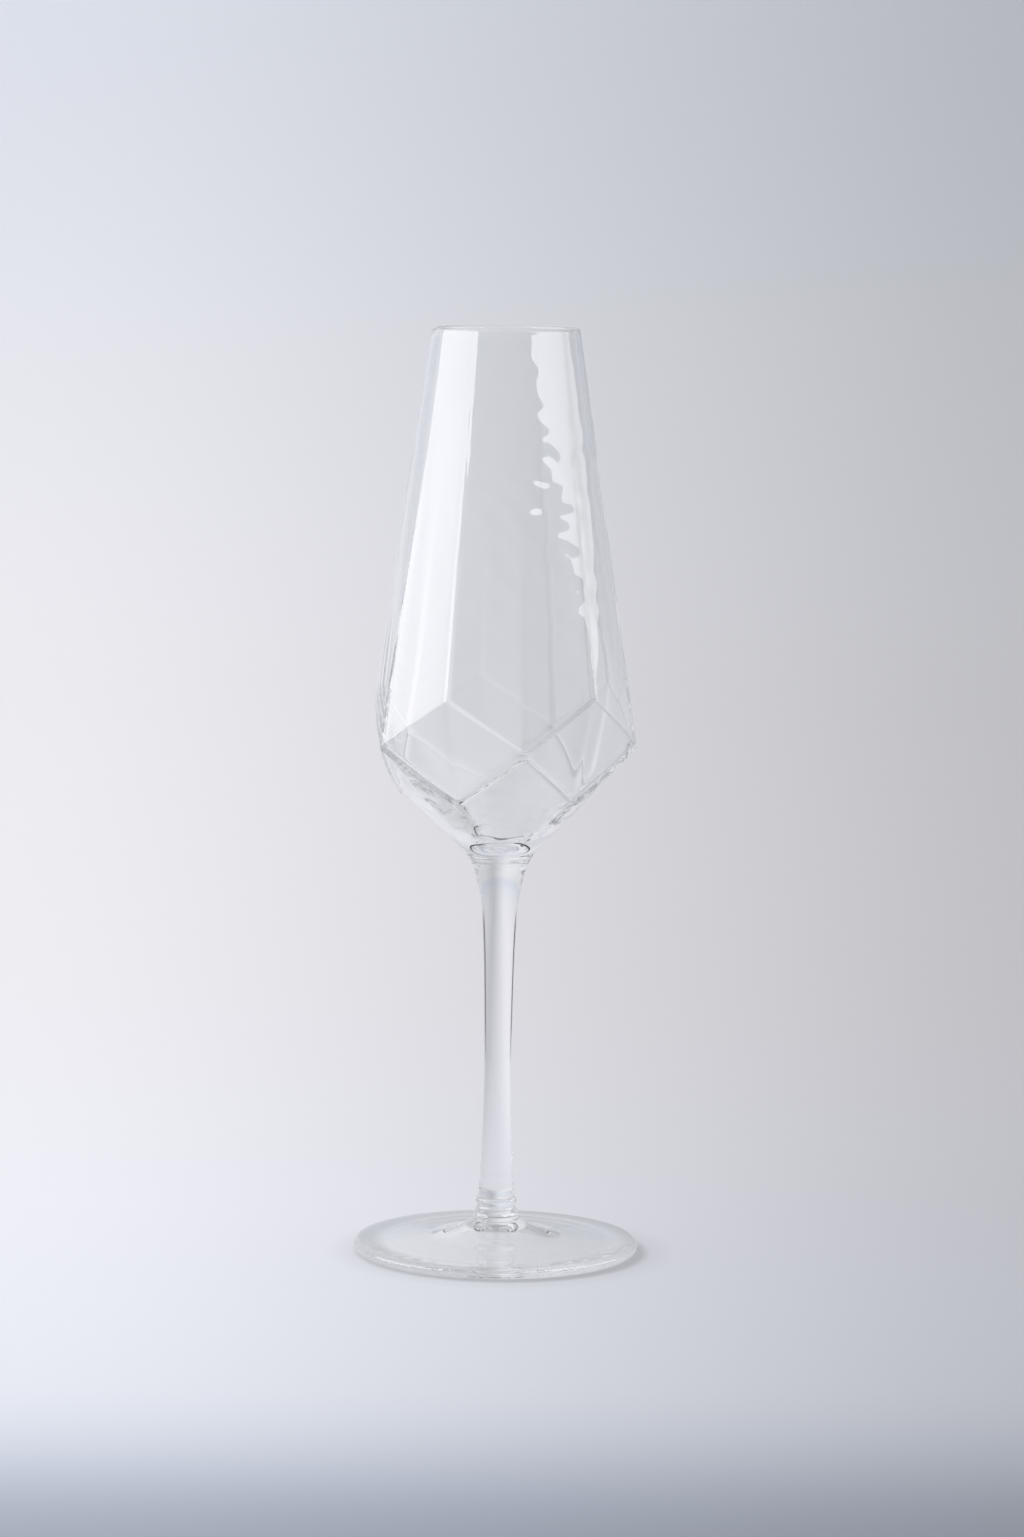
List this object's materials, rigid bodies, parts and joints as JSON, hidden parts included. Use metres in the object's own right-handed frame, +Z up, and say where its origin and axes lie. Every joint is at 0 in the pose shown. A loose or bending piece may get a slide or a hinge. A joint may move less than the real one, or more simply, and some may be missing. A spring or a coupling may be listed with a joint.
{
  "type": "champagne glass",
  "caption": "Tall champagne flute of clear blown glass: a tapered bowl with a belt of diamond facets round its belly, a slim drawn stem and a round foot.",
  "frame": {"origin": "on the table, under the middle of the foot", "axes": "+Z up along the glass's axis; a belt corner of the faceted bowl faces -Y"},
  "size_m": [0.074, 0.074, 0.24],
  "materials": {
    "clear_glass": "clear, fire polished"
  },
  "bodies": {
    "root": {"bowl": "clear_glass", "stem": "clear_glass", "foot": "clear_glass"}
  },
  "joints": []
}
